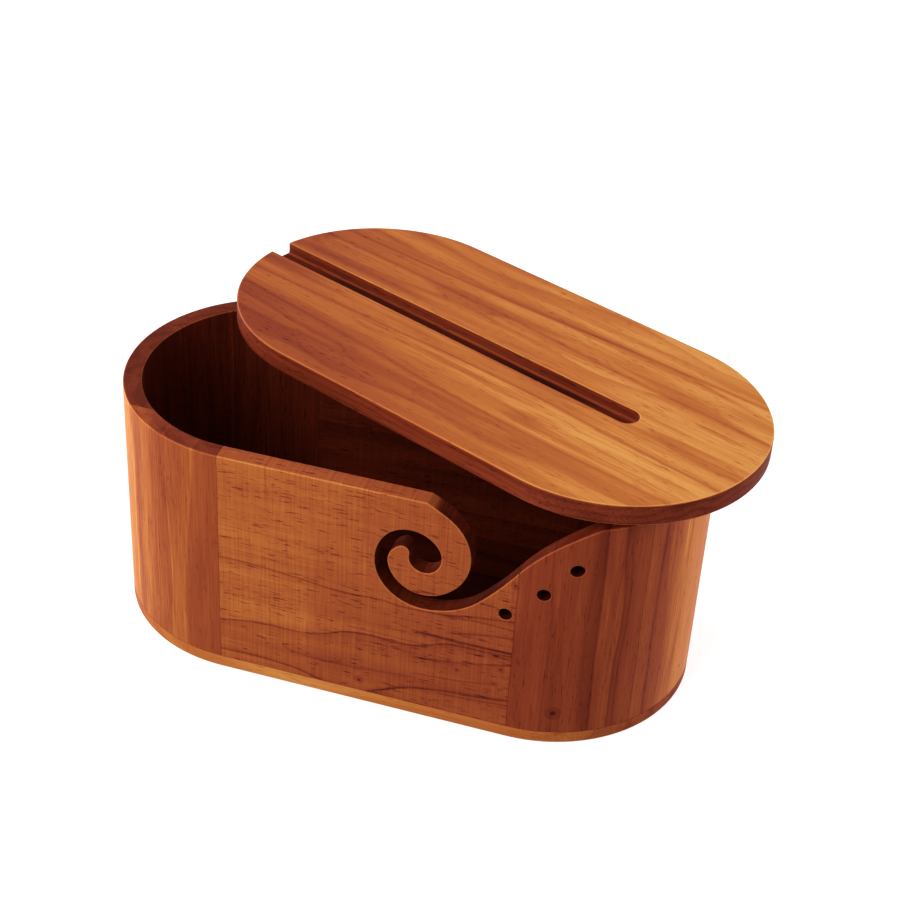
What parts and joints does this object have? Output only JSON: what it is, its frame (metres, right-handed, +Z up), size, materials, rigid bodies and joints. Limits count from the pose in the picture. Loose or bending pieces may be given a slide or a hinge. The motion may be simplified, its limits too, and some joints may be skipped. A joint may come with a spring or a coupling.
{
  "type": "yarn dispenser box",
  "caption": "Wooden stadium-shaped yarn box with a spiral yarn slot in its front wall and a loose lid with a groove that stands a telephone upright.",
  "frame": {"origin": "middle of the base panel's underside, which is the box's rest face", "axes": "+X along the box, to the right of someone who faces the yarn slot; +Y to the back; +Z up"},
  "size_m": [0.3234, 0.2152, 0.148],
  "materials": {
    "base_wood": "satin varnish over orange-brown stain",
    "panel_wood": "satin varnish over red-brown stain",
    "end_wood": "satin varnish over red-brown stain",
    "lid_wood": "satin varnish over golden brown stain"
  },
  "bodies": {
    "box": {"base_panel": "base_wood", "front_panel": "panel_wood", "back_panel": "panel_wood", "left_end_board_1": "end_wood", "left_end_board_2": "end_wood", "left_end_board_3": "end_wood", "left_end_board_4": "end_wood", "left_end_board_5": "end_wood", "left_end_board_6": "end_wood", "right_end_board_1": "end_wood", "right_end_board_2": "end_wood", "right_end_board_3": "end_wood", "right_end_board_4": "end_wood", "right_end_board_5": "end_wood", "right_end_board_6": "end_wood"},
    "lid": {"lid_board": "lid_wood", "lid_locating_panel": "lid_wood"}
  },
  "joints": [
    {"name": "lid_lift", "type": "slide", "parent": "box", "child": "lid", "axis": [0, 0, 1], "range_m": [0, 0.15]}
  ]
}
